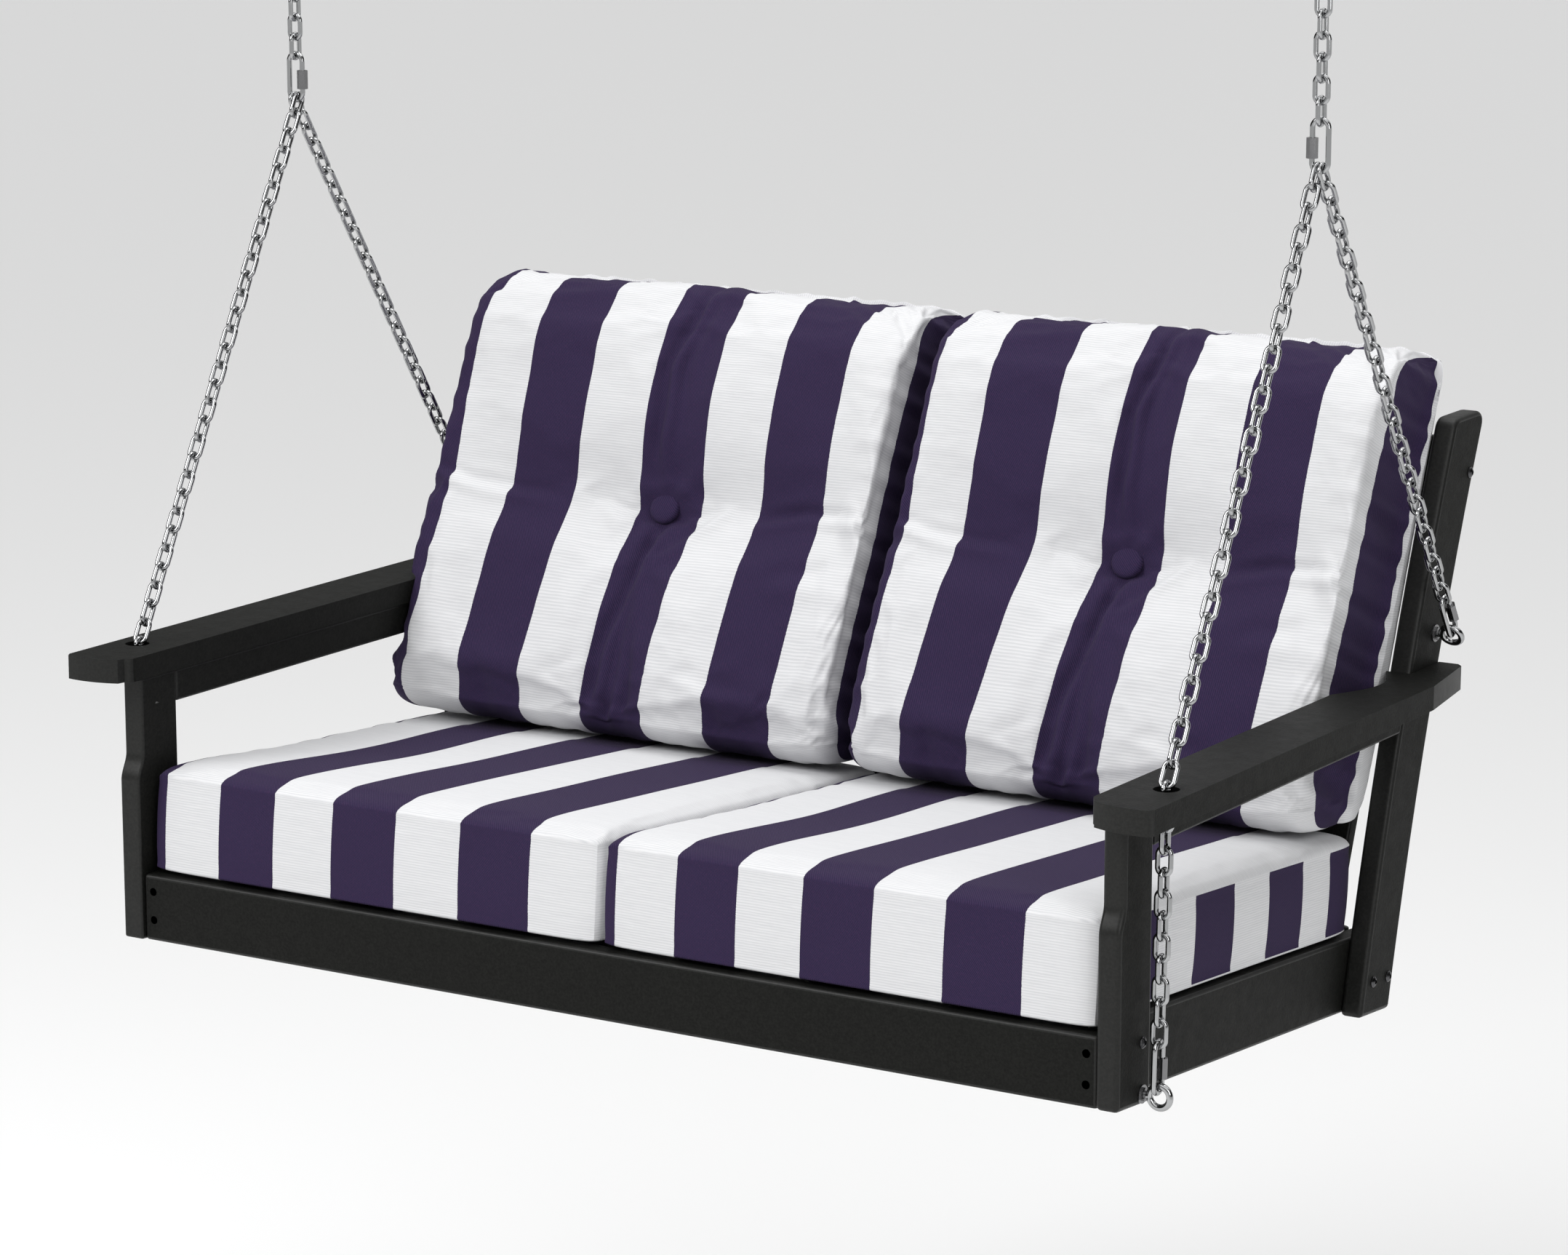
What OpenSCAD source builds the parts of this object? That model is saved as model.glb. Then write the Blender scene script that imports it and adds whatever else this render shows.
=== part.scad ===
// Hanging porch swing seat: a board-built bench on four chain legs, with two
// seat cushions and two button-tufted back cushions.
// Millimetres, +X to the right as seen from the front, -Y to the front, +Z up.
// Origin: midway between the two ceiling screw eyes, on the ceiling plane.

/* [Frame] */
// Clear width between the two front posts
inner_w = 1240; // [1100:10:1500]
// Thickness of posts, legs and rails
board_t = 26.4; // [24:0.2:30]
// Depth of a front post, front to back
post_depth = 73.8; // [66:0.2:90]
// Height of a front post from its foot to the underside of the arm
post_h = 306; // [290:1:330]
// How far the upper part of a post is set back
post_step = 10.3; // [4:0.1:16]
// Backward slope of the seat, in degrees
seat_tilt = 4.75; // [3:0.05:6]
// Height of the front rail
front_rail_h = 78; // [66:1:84]
// Height of a side rail, measured upright
side_rail_h = 84.8; // [80:0.2:90]

/* [Arms] */
// Width of an arm board
arm_w = 79; // [76:1:84]
// Thickness of an arm board
arm_t = 27.4; // [24:0.2:30]
// Fall of the arms toward the back, in degrees
arm_fall = 0.45; // [0:0.05:1]
// Diameter of the hole that a chain passes through
chain_hole_d = 28; // [28:0.5:30]
// Height of the brace board under an arm
brace_h = 37.5; // [30:0.5:45]

/* [Back] */
// Width of a back leg, across its length
leg_w = 76; // [70:1:80]
// Radius of the sweep of a back leg's rear edge
leg_sweep_r = 3560; // [3400:10:3800]
// Lean of a back leg halfway up, in degrees
leg_lean = 18.8; // [18:0.1:19.5]
// Number of upright slats in the back
back_slat_n = 9; // [7:2:11]
// Width of one upright slat
back_slat_w = 84; // [70:1:88]
// Thickness of all slats
slat_t = 19; // [16:0.5:20]

/* [Seat] */
// Number of long slats under the seat cushions
seat_slat_n = 5; // [4:1:5]
// Width of one long slat
seat_slat_w = 98; // [80:1:100]

/* [Chains] */
// Diameter of the chain wire
wire_d = 5.5; // [5:0.1:5.6]
// Inside length of a chain link
link_in = 22.9; // [22.8:0.1:23.4]
// Inside width of a chain link
link_gap = 9.5; // [9:0.1:9.8]
// Links in the chain above each junction
upper_n = 8; // [6:2:40]
// Height of the chain junctions above the feet of the posts
junction_z = 930; // [928:1:932]

/* [Cushions] */
// Depth of a seat cushion
seat_cushion_d = 616; // [580:1:620]
// Thickness of a seat cushion
seat_cushion_t = 128; // [110:1:130]
// Height of a back cushion along its slope
back_cushion_h = 545; // [480:1:550]
// Thickness of a back cushion near its foot
back_cushion_t = 202; // [150:1:206]
// Depth to which a button is drawn into its cushion
button_sink = 56; // [20:1:60]

/* [Hidden] */

$fn = 48;
LEFT = -1;
RIGHT = 1;

// Places in the seat's own frame: y from the front of the posts, z from their feet.
slope = tan(seat_tilt);
fall = tan(arm_fall);
inner_x = inner_w / 2;
outer_x = inner_x + board_t;
rail_inner_x = inner_x - board_t;
front_rail_y = 5;
front_rail_z = -1;
side_rail_z = 1.8;
arm_overhang = 49.6;
arm_outer_x = outer_x + arm_overhang;
arm_inner_x = arm_outer_x - arm_w;

// A back leg is a band between two arcs about a common centre behind it.
leg_mid = [759.6, 266.2];
leg_centre = leg_mid + leg_sweep_r * [cos(leg_lean), -sin(leg_lean)];
leg_foot_z = -49.5;
leg_foot_y = 593;
leg_top_z = 603;
leg_reach = 6.2;
leg_low_angle = leg_lean - leg_reach;
leg_high_angle = leg_lean + leg_reach;
leg_steps = 16;
leg_cut_y = [-40, 160, 400];

// Hairline left between boards that are screwed face to face.
skin = 0.05;

// Fits: the lift of a cushion off what it rests on, and the play of a cushion over a rail.
lift = 0.4;
step_play = 0.4;

// The back slats are screwed to the front faces of the rear rail and the top rail.
// slat_foot is on their rear faces, level with the middle of the rear rail.
top_rail_mid = [851, 535.2];
slat_foot = [634, 10];
slat_run = top_rail_mid - slat_foot;
back_rake = atan(slat_run[0] / slat_run[1]) - asin((board_t / 2 + skin) / norm(slat_run));
back_up = [sin(back_rake), cos(back_rake)];
back_out = [-cos(back_rake), sin(back_rake)];
top_rail_h = 76;
rear_rail_h = 68;
slat_span_x = rail_inner_x - 1.6;
slat_drop = 6;
slat_screw_h = [14, slat_run * back_up];
slat_head = 28;
back_slat_len = slat_drop + slat_screw_h[1] + slat_head;

// Chain geometry. The hanging line runs through hang_x and hang_y on each side.
hang_out = 20.6;
hang_x = outer_x + hang_out;
hang_y = 389;
wire_r = wire_d / 2;
link_r = (link_gap + wire_d) / 2;
front_plane = -3;
back_plane = 3;
slack = 0.2;
junction_reach = 4.9;
front_n = [30, 12];
back_n = 28;
hole_y = 61;
bend = [64.3, 336.2];

// Quick links: an oval of wire with a gate in one leg, closed by a hexagonal sleeve.
ql_d = 6;
ql_r = 9.35;
ql_half = 27.5;
gate = [-12, -5];
sleeve_span = [-14, 8];
sleeve_flats = 11;
sleeve_play = 0.05;

// Eye bolts and screw eyes.
eye_d = 7.5;
eye_r = 11.75;
shank_d = 8;
hole_d = 8.5;
front_eye = [54.5, 7.5];
back_eye = [765.5, 363];
hook_play = 0.1;
hook_in = sqrt(pow(eye_r - eye_d / 2 - ql_d / 2 - hook_play, 2) - pow(front_plane, 2));
washer_t = 1.6;
washer_d = 20;
shoulder_d = 16;
nut_end = 2;
well_d = 21;
jam_nut_t = 2.8;
nut_t = 6.5;
nut_flats = 13;
screw_len = 60;
shoulder_t = 3;

junction = [hang_y, junction_z];
upper_low = junction_z + 2 * ql_half;
upper_len = upper_n * (link_in - slack) + slack - ql_d;
top_low = upper_low + upper_len;
swing_z = top_low + 2 * ql_half - (ql_d + eye_d) / 2 - hook_play;
ceiling_z = swing_z + 2 * eye_r + eye_d / 2 + shoulder_t + 2;

// Cushions. A seat cushion lies on the slats; a back cushion stands on it.
seat_top = 79;
cushion_gap = 3.6;
cushion_front = 4;
button_d = 34;
button_dome = 6;
button_bevel = 3;
button_lift = 0.2;
button_up = 260;

// --- Frames of reference ---

module in_place() {
    translate([0, -hang_y, -ceiling_z]) children();
}

module side(s) {
    mirror([s < 0 ? 1 : 0, 0, 0]) children();
}

module on_both_sides() {
    for (s = [LEFT, RIGHT]) side(s) children();
}

// Extrudes a (y, z) outline along +X from x0 for a length t.
module upright(x0, t) {
    translate([x0, 0, 0]) rotate([90, 0, 90]) linear_extrude(t) children();
}

// Carries +X to a point of the (y, z) plane at x.
module across(x, p) {
    translate([x, p[0], p[1]]) rotate([0, 90, 0]) children();
}

function seat_z(y, z0) = z0 - slope * y;
function arm_z(y, z0) = z0 - fall * y;
function leg_point(r, a) = leg_centre + r * [-cos(a), sin(a)];
function unit(v) = v / norm(v);

// Stands children on a (y, z) line from a to b, s along it, local +Z pointing back to a.
module along(a, b, s) {
    u = unit(b - a);
    p = a + s * u;
    translate([0, p[0], p[1]]) rotate([atan2(u[0], -u[1]), 0, 0]) children();
}

// --- Chain hardware ---

module chain_link() {
    straight = link_in / 2 + wire_r - link_r;
    for (s = [-1, 1]) translate([s * link_r, 0, -straight]) cylinder(d = wire_d, h = 2 * straight);
    for (e = [0, 1]) mirror([0, 0, e]) translate([0, 0, straight])
        rotate([90, 0, 0]) rotate_extrude(angle = 180) translate([link_r, 0]) circle(d = wire_d);
}

// A taut run of n links from hook a to hook b, whose wires reach ra and rb into it.
// turned is true where the first link lies in the (y, z) plane.
module chain_run(a, b, n, ra, rb, turned) {
    pitch = (norm(b - a) - link_in + ra + rb) / (n - 1);
    for (k = [0 : n - 1]) along(a, b, link_in / 2 - ra + k * pitch)
        rotate([0, 0, (k % 2 == 0) == turned ? 90 : 0]) chain_link();
}

module quick_link() {
    straight = ql_half - ql_r;
    translate([-ql_r, 0, -straight]) cylinder(d = ql_d, h = 2 * straight);
    translate([ql_r, 0, -straight]) cylinder(d = ql_d, h = straight + gate[0]);
    translate([ql_r, 0, gate[1]]) cylinder(d = ql_d, h = straight - gate[1]);
    for (e = [0, 1]) mirror([0, 0, e]) translate([0, 0, straight])
        rotate([90, 0, 0]) rotate_extrude(angle = 180) translate([ql_r, 0]) circle(d = ql_d);
}

module quick_link_sleeve() {
    translate([ql_r, 0, sleeve_span[0]]) difference() {
        rotate([0, 0, 30]) cylinder(d = sleeve_flats / cos(30), h = sleeve_span[1] - sleeve_span[0], $fn = 6);
        translate([0, 0, -1]) cylinder(d = ql_d + 2 * sleeve_play, h = sleeve_span[1] - sleeve_span[0] + 2);
    }
}

// A ring in the (x, z) plane with a shank of length len along -X.
module eye(len) {
    rotate([90, 0, 0]) rotate_extrude() translate([eye_r, 0]) circle(d = eye_d);
    rotate([0, -90, 0]) translate([0, 0, eye_r]) cylinder(d = shank_d, h = len - eye_r);
}

module hex_nut(h) {
    difference() {
        cylinder(d = nut_flats / cos(30), h = h, $fn = 6);
        translate([0, 0, -1]) cylinder(d = shank_d + 2 * sleeve_play, h = h + 2);
    }
}

module washer() {
    difference() {
        cylinder(d = washer_d, h = washer_t);
        translate([0, 0, -1]) cylinder(d = hole_d, h = washer_t + 2);
    }
}

module at_ceiling_eye() translate([hang_x, hang_y, swing_z + eye_r]) children();
module at_top_link() translate([hang_x, hang_y, top_low + ql_half]) rotate([0, 0, 90]) children();
module at_junction_link() translate([hang_x, hang_y, junction_z + ql_half]) rotate([0, 0, 180]) children();

// A lower quick link hangs inside its eye and points up the chain to the hook at far.
module at_lower_link(eye_at, far, plane) {
    translate([hang_x + plane, 0, 0]) along(far, eye_at, norm(eye_at - far) - hook_in - ql_half)
        rotate([0, 0, 90]) children();
}

// The shoulder of a screw eye stops against the ceiling.
module ceiling_screw_eyes() color("silver") in_place() on_both_sides() {
    at_ceiling_eye() rotate([0, 90, 0]) eye(ceiling_z - swing_z - eye_r + screw_len);
    translate([hang_x, hang_y, ceiling_z - shoulder_t]) cylinder(d = shoulder_d, h = shoulder_t);
}

module top_quick_link(s) color("silver") in_place() side(s) at_top_link() quick_link();
module top_sleeve(s) color("gainsboro") in_place() side(s) at_top_link() quick_link_sleeve();

module upper_chain(s) color("silver") in_place() side(s) translate([hang_x, 0, 0])
    chain_run([hang_y, top_low], [hang_y, upper_low], upper_n, ql_d / 2, ql_d / 2, false);

module junction_quick_link(s) color("silver") in_place() side(s) at_junction_link() quick_link();
module junction_sleeve(s) color("gainsboro") in_place() side(s) at_junction_link() quick_link_sleeve();

function link_top(far, eye_at) = eye_at + unit(far - eye_at) * (hook_in + 2 * ql_half);

// Down through the arm to the front eye bolt, bending at the hole in the arm.
module front_chain(s) color("silver") in_place() side(s) translate([hang_x + front_plane, 0, 0]) {
    chain_run(junction, bend, front_n[0], junction_reach, slack, true);
    chain_run(bend, link_top(bend, front_eye), front_n[1], slack, ql_d / 2, true);
}

module back_chain(s) color("silver") in_place() side(s) translate([hang_x + back_plane, 0, 0])
    chain_run(junction, link_top(junction, back_eye), back_n, junction_reach, ql_d / 2, true);

module front_quick_link(s) color("silver") in_place() side(s)
    at_lower_link(front_eye, bend, front_plane) quick_link();
module front_sleeve(s) color("gainsboro") in_place() side(s)
    at_lower_link(front_eye, bend, front_plane) quick_link_sleeve();
module back_quick_link(s) color("silver") in_place() side(s)
    at_lower_link(back_eye, junction, back_plane) quick_link();
module back_sleeve(s) color("gainsboro") in_place() side(s)
    at_lower_link(back_eye, junction, back_plane) quick_link_sleeve();

// Faces that the eye bolts are nutted against. The rear nuts are let into the legs,
// so that nothing stands out beside the back cushions.
nut_well = washer_t + nut_t + 1;
front_seat_x = rail_inner_x;
back_seat_x = inner_x + nut_well;

module eye_bolts() color("silver") in_place() on_both_sides() {
    translate([hang_x, front_eye[0], front_eye[1]]) eye(hang_x - front_seat_x + washer_t + nut_t + nut_end);
    translate([hang_x, back_eye[0], back_eye[1]])
        rotate([atan2(back_eye[0] - hang_y, junction_z - back_eye[1]), 0, 0])
            eye(hang_x - back_seat_x + washer_t + nut_t);
}

module eye_bolt_washers() color("gainsboro") in_place() on_both_sides() {
    across(outer_x, front_eye) washer();
    across(outer_x, back_eye) washer();
    across(front_seat_x - washer_t, front_eye) washer();
    across(back_seat_x - washer_t, back_eye) washer();
}

module eye_bolt_nuts() color("gainsboro") in_place() on_both_sides() {
    across(outer_x + washer_t, front_eye) hex_nut(jam_nut_t);
    across(outer_x + washer_t, back_eye) hex_nut(jam_nut_t);
    across(front_seat_x - washer_t - nut_t, front_eye) hex_nut(nut_t);
    across(back_seat_x - washer_t - nut_t, back_eye) hex_nut(nut_t);
}

// --- Frame boards ---

post_bolt = [54.1, 63];
leg_bolts = [[621.2, -13], [660.7, -16.2]];

module drill(p) {
    across(0, p) cylinder(d = hole_d, h = 2 * outer_x);
}

// The step in a post's front edge is a long S.
ogee_low = 186;
ogee_rise = 32;
ogee_steps = 12;

module front_post(s) color("#262724") in_place() side(s) difference() {
    upright(inner_x, board_t) polygon(concat(
        [[post_depth, seat_z(post_depth, 0)], [0, 0]],
        [for (i = [0 : ogee_steps]) [post_step * (1 - cos(180 * i / ogee_steps)) / 2,
            ogee_low + ogee_rise * i / ogee_steps]],
        [[post_step, arm_z(post_step, post_h)], [post_depth, arm_z(post_depth, post_h)]]
    ));
    drill(post_bolt);
    drill(front_eye);
}

module leg_outline(grow) {
    front_r = leg_sweep_r + leg_w + grow;
    rear_r = leg_sweep_r - grow;
    step = (leg_high_angle - leg_low_angle) / leg_steps;
    angles = [for (i = [0 : leg_steps]) leg_low_angle + i * step];
    polygon(concat(
        [for (a = angles) leg_point(front_r, a)],
        [for (i = [leg_steps : -1 : 0]) leg_point(rear_r, angles[i])]
    ));
}

module back_leg(s) color("#262724") in_place() side(s) difference() {
    intersection() {
        upright(inner_x, board_t) leg_outline(0);
        upright(inner_x - 1, board_t + 2) polygon([
            [leg_foot_y + leg_cut_y[0], seat_z(leg_cut_y[0], leg_foot_z)],
            [leg_foot_y + leg_cut_y[1], seat_z(leg_cut_y[1], leg_foot_z)],
            [leg_foot_y + leg_cut_y[2], leg_top_z], [leg_foot_y + leg_cut_y[0], leg_top_z]
        ]);
    }
    for (p = leg_bolts) drill(p);
    drill(top_rail_mid);
    drill(back_eye);
    across(back_seat_x, back_eye) translate([0, 0, -1 - nut_well]) cylinder(d = well_d, h = nut_well + 1);
}

// Plan of the right arm: a shallow bow at the front, a scoop before the back leg,
// and a rear end that narrows outside the leg.
arm_rear_y = 778;
arm_taper_y = 655;
arm_taper = [18, 25];
arm_tail_cut = 8;

module arm_outline() {
    bow_r = 108;
    bow = [672, -33];
    nose = [8, 12];
    nose_y = -2;
    nose_steps = 4;
    outer_front_y = -24;
    bow_ends = [10, 4];
    scoop = 27;
    scoop_rear_y = 700;
    scoop_len = 145;
    scoop_lean = 0.2;
    steps = 10;
    bow_w = arm_w - bow_ends[0] - bow_ends[1];
    polygon(concat(
        [for (i = [0 : nose_steps]) let (a = 90 * i / nose_steps)
            [arm_inner_x + nose[0] * (1 - cos(a)), nose_y - nose[1] * sin(a)]],
        [for (i = [0 : steps]) let (x = arm_inner_x + bow_ends[0] + i * bow_w / steps)
            [x, bow[1] + bow_r - sqrt(bow_r * bow_r - (x - bow[0]) * (x - bow[0]))]],
        [[arm_outer_x, outer_front_y], [arm_outer_x, arm_taper_y],
            [arm_outer_x - arm_taper[0], arm_rear_y - arm_tail_cut],
            [arm_outer_x - arm_taper[1], arm_rear_y], [arm_inner_x, arm_rear_y]],
        [for (i = [0 : steps]) let (t = i / steps)
            [arm_inner_x + scoop * sin(180 * t) * (1 - scoop_lean * t), scoop_rear_y - scoop_len * t]]
    ));
}

// An arm is notched around its leg, and only its outer part runs on past the leg.
arm_play = 0.3;
arm_notch = outer_x + arm_play - arm_inner_x + 1;
arm_notch_y = 740;
hole_x = hang_x - 1.5;

module arm(s) color("#2c2d2a") in_place() side(s) difference() {
    translate([0, 0, post_h]) rotate([-arm_fall, 0, 0]) linear_extrude(arm_t) difference() {
        arm_outline();
        translate([hole_x, hole_y]) circle(d = chain_hole_d);
    }
    upright(arm_inner_x - 1, arm_notch) leg_outline(arm_play);
    translate([arm_inner_x - 1, arm_notch_y, post_h - arm_t])
        cube([arm_notch, arm_rear_y - arm_notch_y + 1, 3 * arm_t]);
}

// A brace stops against the front edge of its leg.
brace_rear_y = 715;

module arm_brace(s) color("#262724") in_place() side(s) upright(inner_x, board_t) difference() {
    polygon([
        [post_depth, arm_z(post_depth, post_h)], [brace_rear_y, arm_z(brace_rear_y, post_h)],
        [brace_rear_y, arm_z(brace_rear_y, post_h - brace_h)],
        [post_depth, arm_z(post_depth, post_h - brace_h)]
    ]);
    leg_outline(arm_play);
}

module front_rail() color("#262724") in_place()
    translate([-inner_x, front_rail_y, front_rail_z]) cube([inner_w, board_t, front_rail_h]);

rail_front_y = front_rail_y + board_t;
rail_rear_y = [664, 684];

module side_rail(s) color("#262724") in_place() side(s) difference() {
    upright(rail_inner_x, board_t) polygon([
        [rail_front_y, seat_z(rail_front_y, side_rail_z)],
        [rail_front_y, seat_z(rail_front_y, side_rail_z + side_rail_h)],
        [rail_rear_y[1], seat_z(rail_rear_y[1], side_rail_z + side_rail_h)],
        [rail_rear_y[0], seat_z(rail_rear_y[0], side_rail_z)]
    ]);
    drill(post_bolt);
    drill(front_eye);
    for (p = leg_bolts) drill(p);
}

rear_rail_mid = slat_foot - back_out * (board_t / 2 + skin);

// A board between the sides, centred at p on the (y, z) plane and leaning with the back.
module leaning_board(p, half_x, h) {
    translate([0, p[0], p[1]]) rotate([-back_rake, 0, 0])
        cube([2 * half_x, board_t, h], center = true);
}

module rear_rail() color("#262724") in_place()
    leaning_board(rear_rail_mid, rail_inner_x - skin, rear_rail_h);

// The top rail is bored at both ends for its bolts.
rail_bore = 42;

module back_top_rail() color("#262724") in_place() difference() {
    leaning_board(top_rail_mid, inner_x - skin, top_rail_h);
    on_both_sides() across(inner_x - rail_bore, top_rail_mid) cylinder(d = hole_d, h = rail_bore + 1);
}

module back_slats() color("#262724") in_place() {
    pitch = (2 * slat_span_x - back_slat_w) / (back_slat_n - 1);
    for (i = [0 : back_slat_n - 1])
        translate([-slat_span_x + i * pitch, slat_foot[0], slat_foot[1]]) rotate([-back_rake, 0, 0])
            translate([0, -slat_t, -slat_drop]) cube([back_slat_w, slat_t, back_slat_len]);
}

// The long slats lie on a plane that slopes with the side rails.
slat_low = seat_top - slat_t;
slat_from = rail_front_y + 8;
slat_to = 596;
slat_pitch = (slat_to - slat_from - seat_slat_w) / (seat_slat_n - 1);

module on_seat_slope() rotate([-seat_tilt, 0, 0]) children();

module seat_slats() color("#262724") in_place() on_seat_slope()
    for (i = [0 : seat_slat_n - 1])
        translate([-slat_span_x, slat_from + i * slat_pitch, slat_low])
            cube([2 * slat_span_x, seat_slat_w, slat_t]);

cleat_t = 22;
cleat_h = 30;

module seat_slat_cleats() color("#262724") in_place() on_both_sides() on_seat_slope()
    translate([rail_inner_x - cleat_t - skin, slat_from, slat_low - cleat_h])
        cube([cleat_t, slat_to - slat_from, cleat_h]);

// A middle support for the long slats. Its rear end passes under the back slats
// to meet the rear rail.
support_low = 4;
support_rear = 612;
support_end = [8, 33];
support_tail = [slat_foot - support_end[0] * back_up, slat_foot - support_end[1] * back_up];

module centre_seat_support() color("#262724") in_place() upright(-board_t / 2, board_t) polygon([
    [rail_front_y, seat_z(rail_front_y, support_low)], [rail_front_y, seat_z(rail_front_y, slat_low)],
    [support_rear, seat_z(support_rear, slat_low)],
    support_tail[0], support_tail[1],
    [support_rear, seat_z(support_rear, support_low)]
]);

// --- Fasteners ---

bolt_head_d = 13;
bolt_head_h = 4;
bolt_dome_d = 17;
bolt_socket_d = 5.6;
bolt_socket_z = 1.6;

module button_bolt(len) {
    difference() {
        union() {
            translate([0, 0, -len]) cylinder(d = shank_d, h = len);
            intersection() {
                translate([0, 0, bolt_head_h - bolt_dome_d / 2]) sphere(d = bolt_dome_d);
                cylinder(d = bolt_head_d, h = bolt_head_h);
            }
        }
        translate([0, 0, bolt_socket_z]) cylinder(d = bolt_socket_d, h = bolt_head_h, $fn = 6);
    }
}

// The rear leg bolt comes through behind the rear rail and has a nut. The other bolts
// end in threaded inserts inside the side rails or the ends of the top rail.
blind_end = 4;
blind_len = 2 * board_t - blind_end;
through_len = 2 * board_t + nut_t + nut_end;

module frame_bolts() color("dimgray") in_place() on_both_sides() {
    for (p = [post_bolt, leg_bolts[0]]) across(outer_x, p) button_bolt(blind_len);
    across(outer_x, leg_bolts[1]) button_bolt(through_len);
    across(outer_x, top_rail_mid) button_bolt(board_t + rail_bore - blind_end);
}

module frame_bolt_nuts() color("gainsboro") in_place() on_both_sides()
    across(rail_inner_x - nut_t, leg_bolts[1]) hex_nut(nut_t);

// Countersunk screw with its head flush at z = 0, pointing down.
screw_d = 4.5;
screw_head_h = 2.6;
screw_head_d = 8.5;
slat_screw_len = 38;
arm_screw_len = 50;

module wood_screw(len, head_d) {
    translate([0, 0, -len]) cylinder(d = screw_d, h = len);
    translate([0, 0, -screw_head_h]) cylinder(d1 = screw_d, d2 = head_d, h = screw_head_h);
}

rail_screw_z = [24, 57.5];
rail_screw_len = 44;
rail_screw_head_d = 9.5;

module rail_end_screws() color("#1c1d1b") in_place() on_both_sides()
    for (z = rail_screw_z) translate([inner_x - board_t / 2, front_rail_y, z])
        rotate([90, 0, 0]) wood_screw(rail_screw_len, rail_screw_head_d);

// Three screws come up through each brace into its arm, one slants up from the post,
// and one passes through the leg into the arm's tail.
arm_screw_y = [130, 380, 620];
arm_tail_y = 728;
post_screw_slant = 15;
post_screw_drop = 34;

module arm_screws() color("#1c1d1b") in_place() on_both_sides() {
    for (y = arm_screw_y) translate([inner_x + board_t / 2, y, arm_z(y, post_h - brace_h)])
        rotate([180, 0, 0]) wood_screw(arm_screw_len, screw_head_d);
    translate([inner_x + 2, post_depth / 2, post_h - post_screw_drop])
        rotate([0, 180 + post_screw_slant, 0]) wood_screw(arm_screw_len, screw_head_d);
    translate([inner_x, arm_tail_y, arm_z(arm_tail_y, post_h) + arm_t / 2])
        rotate([0, -90, 0]) wood_screw(arm_screw_len, screw_head_d);
}

module slat_screws() color("#1c1d1b") in_place() {
    on_seat_slope() for (i = [0 : seat_slat_n - 1]) for (v = [0.25, 0.75])
        for (x = [-rail_inner_x + cleat_t / 2, 0, rail_inner_x - cleat_t / 2])
            translate([x, slat_from + i * slat_pitch + v * seat_slat_w, seat_top])
                wood_screw(slat_screw_len, screw_head_d);
    pitch = (2 * slat_span_x - back_slat_w) / (back_slat_n - 1);
    for (i = [0 : back_slat_n - 1]) for (h = slat_screw_h)
        translate([-slat_span_x + i * pitch + back_slat_w / 2, slat_foot[0], slat_foot[1]])
            rotate([-back_rake, 0, 0]) translate([0, -slat_t, h])
                rotate([90, 0, 0]) wood_screw(slat_screw_len, screw_head_d);
}

// --- Cushions ---

// An outline with every corner of pts, given counterclockwise, rounded to radius r.
function rounded(pts, r, steps = 6) = [
    for (i = [0 : len(pts) - 1])
        let (
            p = pts[i],
            u = unit(pts[(i + len(pts) - 1) % len(pts)] - p),
            v = unit(pts[(i + 1) % len(pts)] - p),
            half = acos(u * v) / 2,
            c = p + unit(u + v) * r / sin(half),
            from = atan2(u[0], -u[1]),
            turn = 180 - 2 * half
        )
        for (k = [0 : steps]) c + r * [cos(from + turn * k / steps), sin(from + turn * k / steps)]
];

mid_gap = 0.6;
cushion_w = inner_x - cushion_gap - mid_gap;
seat_low = seat_top + lift;
seat_high = seat_low + seat_cushion_t;
seat_cushion_r = 18;

// The side rail stands a little above the slats, and the outer edge of a seat cushion
// is stepped to lie over it.
rail_top = (side_rail_z + side_rail_h) * cos(seat_tilt);
step_from = (rail_front_y - rail_top * sin(seat_tilt)) / cos(seat_tilt) - step_play;

module seat_cushion(s) color("#4a4560") in_place() side(s) on_seat_slope() difference() {
    upright(mid_gap, cushion_w) polygon(rounded([
        [cushion_front, seat_low], [cushion_front + seat_cushion_d, seat_low],
        [cushion_front + seat_cushion_d, seat_high], [cushion_front, seat_high]
    ], seat_cushion_r));
    translate([rail_inner_x - step_play, step_from, 0])
        cube([board_t + step_play, seat_cushion_d, rail_top + step_play]);
}

// A back cushion is a wedge, thicker at its foot. It stands on the seat cushion and
// leans on the slats. Its outline is set in distances up the slats and out from them.
stand_z = (seat_high + 2 * lift) / cos(seat_tilt);
slat_face = slat_foot + back_out * (slat_t + lift);
stand_h = (stand_z - slope * slat_face[0] - slat_face[1]) / (back_up[1] + slope * back_up[0]);
foot_y = 510;

function on_slats(h, out) = slat_face + back_up * (stand_h + h) + back_out * out;

belly_drop = 5;
brow_in = [56, 39];
crown_in = [4, 86];
nape_in = [26, 39];
back_cushion_r = 26;
belly = on_slats(-belly_drop, back_cushion_t);
brow = on_slats(back_cushion_h - brow_in[0], back_cushion_t - brow_in[1]);
front_angle = atan2(brow[0] - belly[0], brow[1] - belly[1]);

module back_cushion_outline() {
    polygon(rounded([
        [foot_y, seat_z(foot_y, stand_z)], on_slats(0, 0), on_slats(back_cushion_h - nape_in[0], 0),
        on_slats(back_cushion_h, nape_in[1]),
        on_slats(back_cushion_h - crown_in[0], back_cushion_t - crown_in[1]), brow, belly
    ], back_cushion_r));
}

// The hollow drawn in around a button: across its foot, and across its mouth.
tuft_d = [46, 150];

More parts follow.
